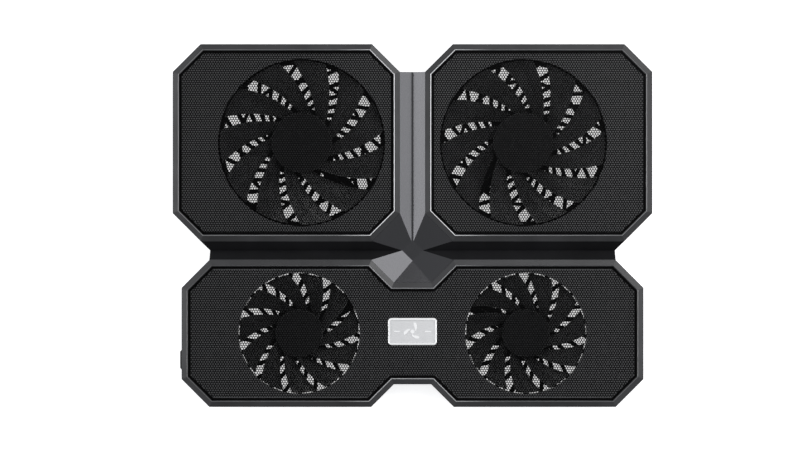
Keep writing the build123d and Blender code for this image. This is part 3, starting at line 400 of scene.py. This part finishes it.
def upper_outline(node):
    """The corners of a flat CAD sheet's upper face, counter-clockwise."""
    mesh = frame["nodes"][node].data
    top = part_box(node)[1].z
    on_top = {v.index for v in mesh.vertices if abs(v.co.z - top) < 1e-6}
    place = {i: (round(mesh.vertices[i].co.x, 7), round(mesh.vertices[i].co.y, 7)) for i in on_top}
    edges = {}
    for face in mesh.polygons:
        loop = list(face.vertices)
        if not all(i in on_top for i in loop):
            continue
        for a, b in zip(loop, loop[1:] + loop[:1]):
            edges[place[a], place[b]] = True
    follow = {a: b for a, b in edges if (b, a) not in edges}
    start = min(follow)
    loop = [start]
    while follow[loop[-1]] != start:
        loop.append(follow[loop[-1]])
    points = [Vector(p) for p in loop]
    corners = []
    for i, p in enumerate(points):
        before = (p - points[i - 1]).normalized()
        after = (points[(i + 1) % len(points)] - p).normalized()
        if before.cross(after) ** 2 > STRAIGHT_LIMIT:
            corners.append(p)
    return corners


def inset(corners, distance):
    """The outline moved inwards, with its corners kept sharp."""
    moved = []
    count = len(corners)
    for i in range(count):
        before = (corners[i] - corners[i - 1]).normalized()
        after = (corners[(i + 1) % count] - corners[i]).normalized()
        normal_a = Vector((-before.y, before.x))
        normal_b = Vector((-after.y, after.x))
        middle = (normal_a + normal_b).normalized()
        moved.append(corners[i] + middle * distance / middle.dot(normal_a))
    return moved


def inside(corners, x, y):
    """True for each point that lies inside the outline."""
    result = np.zeros(x.shape, bool)
    for a, b in zip(corners, corners[1:] + corners[:1]):
        crosses = (a.y > y) != (b.y > y)
        slope = (b.x - a.x) / (b.y - a.y) if a.y != b.y else 0.0
        result ^= crosses & (x < a.x + (y - a.y) * slope)
    return result


def hole_lattice(corners):
    """Centres of the holes, in staggered rows, with each hole's three following neighbours."""
    row_pitch = HOLE_PITCH * math.sqrt(3) / 2
    middle = (Vector(map(min, zip(*corners))) + Vector(map(max, zip(*corners)))) / 2
    reach_x = max(abs(c.x - middle.x) for c in corners)
    reach_y = max(abs(c.y - middle.y) for c in corners)
    columns = int(reach_x / HOLE_PITCH) + 2
    rows = int(reach_y / row_pitch) + 2
    j, i = np.mgrid[-rows : rows + 1, -columns : columns + 1]
    x = middle.x + (i + 0.5 * (j % 2)) * HOLE_PITCH
    y = middle.y + j * row_pitch
    kept = inside(inset(corners, HEM_WIDTH * HOLE_START_SHARE), x, y)
    number = np.where(kept, np.cumsum(kept).reshape(kept.shape) - 1, -1)
    right = np.full(number.shape, -1)
    right[:, :-1] = number[:, 1:]
    above = np.full(number.shape, -1)
    above[:-1] = number[1:]
    above_left = np.full(number.shape, -1)
    above_left[:, 1:] = above[:, :-1]
    above_right = np.full(number.shape, -1)
    above_right[:, :-1] = above[:, 1:]
    odd = j % 2 == 1
    up_right = np.where(odd, above_right, above)
    up_left = np.where(odd, above, above_left)
    return x[kept], y[kept], right[kept], up_right[kept], up_left[kept]


def sheet_faces(right, up_right, up_left, owned):
    """The upper faces between the holes that these holes own: bridges and the patches between them."""
    a = np.arange(len(right)) * 6
    b, c, d = right * 6, up_right * 6, up_left * 6
    has_b, has_c, has_d = (n >= 0 for n in (right, up_right, up_left))
    quads = [
        np.stack([a + 2, b + 4, b + 5, a + 1], 1)[has_b & owned],
        np.stack([a + 1, c + 3, c + 4, a + 0], 1)[has_c & owned],
        np.stack([a + 0, d + 2, d + 3, a + 5], 1)[has_d & owned],
    ]
    triangles = [
        np.stack([a + 1, b + 5, c + 3], 1)[has_b & has_c & owned],
        np.stack([a + 0, c + 4, d + 2], 1)[has_c & has_d & owned],
    ]
    return np.concatenate(quads), np.concatenate(triangles)


def open_edges(quads, triangles, count):
    """Edges that only one face uses, in that face's direction."""
    pairs = [np.stack([quads[:, k], quads[:, (k + 1) % 4]], 1) for k in range(4)]
    pairs += [np.stack([triangles[:, k], triangles[:, (k + 1) % 3]], 1) for k in range(3)]
    edges = np.concatenate(pairs)
    code = edges[:, 0] * count + edges[:, 1]
    reverse = edges[:, 1] * count + edges[:, 0]
    return edges[~np.isin(reverse, code)]


def perforated_mesh(name, x, y, neighbours, owned, low, high):
    """A closed sheet with hexagonal holes."""
    turn = np.radians([90, 30, -30, -90, -150, 150])
    radius = HOLE_FLATS / math.sqrt(3)
    px = (x[:, None] + radius * np.cos(turn)).ravel()
    py = (y[:, None] + radius * np.sin(turn)).ravel()
    quads, triangles = sheet_faces(*neighbours, owned)
    used = np.unique(np.concatenate([quads.ravel(), triangles.ravel()]))
    renumber = np.zeros(len(px), int)
    renumber[used] = np.arange(len(used))
    quads, triangles = renumber[quads], renumber[triangles]
    count = len(used)
    rim = open_edges(quads, triangles, count)
    walls = np.stack([rim[:, 0], rim[:, 0] + count, rim[:, 1] + count, rim[:, 1]], 1)
    all_quads = np.concatenate([quads, quads[:, ::-1] + count, walls])
    all_triangles = np.concatenate([triangles, triangles[:, ::-1] + count])
    flat = np.stack([px[used], py[used]], 1)
    points = np.zeros((2 * count, 3))
    points[:, :2] = np.tile(flat, (2, 1))
    points[:count, 2] = high
    points[count:, 2] = low
    mesh = bpy.data.meshes.new(name)
    mesh.from_pydata(points.tolist(), [], all_quads.tolist() + all_triangles.tolist())
    return mesh


def add_hem(mesh, corners, low, high):
    """Adds the solid edge strip of a sheet, following its outline."""
    strip = bmesh.new()
    strip.from_mesh(mesh)
    rings = []
    for distance, level in ((0.0, low), (0.0, high), (HEM_WIDTH, high), (HEM_WIDTH, low)):
        rings.append([strip.verts.new((p.x, p.y, level)) for p in inset(corners, distance)])
    count = len(corners)
    for first, second in zip(rings, rings[1:] + rings[:1]):
        for i in range(count):
            k = (i + 1) % count
            strip.faces.new((first[i], first[k], second[k], second[i]))
    strip.to_mesh(mesh)
    strip.free()


def make_sheet(node, parts, materials):
    """Replaces one CAD mesh panel by a real perforated sheet, in one or more pieces side by side."""
    corners = upper_outline(node)
    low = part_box(node)[0].z
    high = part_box(node)[1].z
    x, y, *neighbours = hole_lattice(corners)
    middle = (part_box(node)[0].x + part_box(node)[1].x) / 2
    for index, suffix in enumerate(parts):
        owned = np.ones(len(x), bool)
        if len(parts) == 2:
            owned = (x < middle) if index == 0 else (x >= middle)
        name = node + "_sheet" + suffix
        mesh = perforated_mesh(name, x, y, neighbours, owned, low, high - HEM_RISE)
        if index == 0:
            add_hem(mesh, corners, low, high)
        mesh.validate()
        piece = new_object(name, mesh)
        paint(piece, "mesh_black", materials)
        if index == 0:
            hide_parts(node)
        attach(piece, HOUSING)


# ---------------------------------------------------------------- badge and sockets


def prism(builder, points, low, high):
    """A closed upright prism from an outline in plan."""
    bottom = [builder.verts.new((x, y, low)) for x, y in points]
    top = [builder.verts.new((x, y, high)) for x, y in points]
    builder.faces.new(top)
    builder.faces.new(bottom[::-1])
    count = len(points)
    for i in range(count):
        k = (i + 1) % count
        builder.faces.new((bottom[i], bottom[k], top[k], top[i]))


def fixed_piece(builder, slot, name, materials):
    """Ends a built mesh as a piece fixed to the housing."""
    bmesh.ops.recalc_face_normals(builder, faces=builder.faces)
    mesh = bpy.data.meshes.new(name)
    builder.to_mesh(mesh)
    builder.free()
    piece = new_object(name, mesh)
    paint(piece, slot, materials)
    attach(piece, HOUSING)


def petal(radius, turn):
    """Plan outline of one blade of the badge's plain fan mark: one curved side out, the other back."""
    out = [step / PETAL_STEPS for step in range(PETAL_STEPS + 1)]
    points = []
    for share in out:
        points.append((share, turn + PETAL_START + PETAL_SWEEP * share))
    for share in reversed(out):
        width = PETAL_WIDTH * math.sin(math.pi * (0.15 + 0.75 * share))
        points.append((share, turn + PETAL_START + PETAL_SWEEP * share + width))
    reach = [(radius * (MARK_INNER_SHARE + (1 - MARK_INNER_SHARE) * share), a) for share, a in points]
    return [(r * math.cos(a), r * math.sin(a)) for r, a in reach]


def badge_mark(materials):
    """A small raised three-blade fan with a plain bar at each side, on the badge plate."""
    low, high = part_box("badge_plate")
    middle = (low + high) / 2
    radius = (high.y - low.y) * MARK_RADIUS_SHARE
    builder = bmesh.new()
    outlines = [petal(radius, blade * math.tau / MARK_BLADES) for blade in range(MARK_BLADES)]
    hub_radius = radius * MARK_HUB_SHARE
    turns = np.linspace(0, math.tau, MARK_HUB_SIDES + 1)[:-1]
    outlines.append([(hub_radius * math.cos(t), hub_radius * math.sin(t)) for t in turns])
    for side in (-1, 1):
        a, b = sorted((side * radius * MARK_BAR_GAP, side * (high.x - low.x) * MARK_BAR_REACH))
        outlines.append([(a, -MARK_BAR_HALF), (b, -MARK_BAR_HALF), (b, MARK_BAR_HALF), (a, MARK_BAR_HALF)])
    for outline in outlines:
        prism(builder, [(middle.x + x, middle.y + y) for x, y in outline], high.z, high.z + MARK_RISE)
    fixed_piece(builder, "badge_white", "badge_mark", materials)


def socket_contacts(materials):
    """Spring contacts under each socket's tongue."""
    low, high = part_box("usb_tongues")
    front = high.y - CONTACT_SETBACK
    builder = bmesh.new()
    for centre in (low.x + TONGUE_HALF, high.x - TONGUE_HALF):
        for index in range(CONTACT_COUNT):
            x = centre + (index - (CONTACT_COUNT - 1) / 2) * CONTACT_PITCH
            left, right = x - CONTACT_HALF, x + CONTACT_HALF
            outline = [(left, low.y), (right, low.y), (right, front), (left, front)]
            prism(builder, outline, low.z - CONTACT_DEPTH, low.z)
    fixed_piece(builder, "brass", "socket_contacts", materials)


# ---------------------------------------------------------------- setting


def studio_floor():
    """A plain pale floor that glows a little, as a light table does."""
    n = Nodes("pale_floor")
    n.finish(Base_Color=(0.85, 0.85, 0.86, 1.0), Roughness=0.9)
    n.finish(Emission_Color=(1.0, 1.0, 1.0, 1.0), Emission_Strength=FLOOR_GLOW)
    half = FLOOR_HALF
    mesh = bpy.data.meshes.new("floor")
    z = cad_low.z - FLOOR_GAP
    corners = [(-half, -half, z), (half, -half, z), (half, half, z), (-half, half, z)]
    mesh.from_pydata(corners, [], [(0, 1, 2, 3)])
    floor = new_object("floor", mesh)
    mesh.materials.append(n.material)


def studio_world():
    """A dim surround with a brighter band round it, strongest at the sides and weakest in front."""
    world = bpy.data.worlds.new("studio")
    world.use_nodes = True
    nodes = world.node_tree.nodes
    link = world.node_tree.links.new

    def calculate(operation, *values):
        """One math node, with each value linked or set."""
        node = nodes.new("ShaderNodeMath")
        node.operation = operation
        for socket, value in zip(node.inputs, values):
            if isinstance(value, bpy.types.NodeSocket):
                link(value, socket)
            else:
                socket.default_value = value
        return node.outputs[0]

    axes = nodes.new("ShaderNodeSeparateXYZ")
    link(nodes.new("ShaderNodeTexCoord").outputs["Generated"], axes.inputs["Vector"])
    band = nodes.new("ShaderNodeValToRGB")
    for place, level in SURROUND_BAND:
        stop = band.color_ramp.elements.new(place)
        stop.color = (level, level, level, 1.0)
    link(axes.outputs["Z"], band.inputs["Fac"])
    rearward = calculate("MULTIPLY_ADD", axes.outputs["Y"], BAND_REAR, BAND_ACROSS)
    sideways = calculate("ABSOLUTE", axes.outputs["X"])
    share = calculate("MULTIPLY_ADD", sideways, 1.0 - BAND_ACROSS, rearward)
    level = calculate("MULTIPLY", band.outputs["Color"], share)
    power = calculate("MULTIPLY_ADD", level, BAND_STRENGTH, BASE_STRENGTH)
    link(power, nodes["Background"].inputs["Strength"])
    nodes["Background"].inputs["Color"].default_value = SURROUND_TINT
    scene.world = world


def soft_light(name, place, size, power):
    """A rectangular soft light aimed at the pad."""
    lamp = bpy.data.lights.new(name, "AREA")
    lamp.shape = "RECTANGLE"
    lamp.size, lamp.size_y = size
    lamp.energy = power
    holder = bpy.data.objects.new(name, lamp)
    holder.location = place
    holder.rotation_euler = (-Vector(place)).to_track_quat("-Z", "Y").to_euler()
    scene.collection.objects.link(holder)


def studio_lights():
    """Soft boxes and low strips at both sides, and a soft box high up at the right rear."""
    soft_light("left_box", (-1.5, 0.1, 0.62), (1.2, 0.5), 8.6)
    soft_light("right_box", (1.5, 0.1, 0.62), (1.2, 0.5), 5.6)
    soft_light("rear_right_box", (0.40, 0.42, 0.92), (0.62, 0.62), 4.4)
    soft_light("left_strip", (-1.5, 0.0, 0.10), (1.2, 0.08), 9.5)
    soft_light("right_strip", (1.5, 0.0, 0.10), (1.2, 0.08), 7.0)


def top_camera():
    """A long-lens camera straight above the pad, with the rear edge at the top of the picture."""
    camera = bpy.data.cameras.new("top_camera")
    camera.sensor_width = SENSOR_MM
    camera.lens = SENSOR_MM * CAMERA_HEIGHT / VIEW_WIDTH
    camera.clip_end = 50.0
    holder = bpy.data.objects.new("top_camera", camera)
    holder.location = (CAMERA_X, CAMERA_Y, CAMERA_HEIGHT + cad_high.z)
    scene.collection.objects.link(holder)
    scene.camera = holder


top_camera()
scene.view_settings.view_transform = "Standard"
studio_floor()
studio_world()
studio_lights()
slot_materials = make_materials()
paint_cad_nodes(slot_materials)
make_sheet("mesh_left", [""], slot_materials)
make_sheet("mesh_right", [""], slot_materials)
make_sheet("mesh_front", ["_left", "_right"], slot_materials)
badge_mark(slot_materials)
socket_contacts(slot_materials)
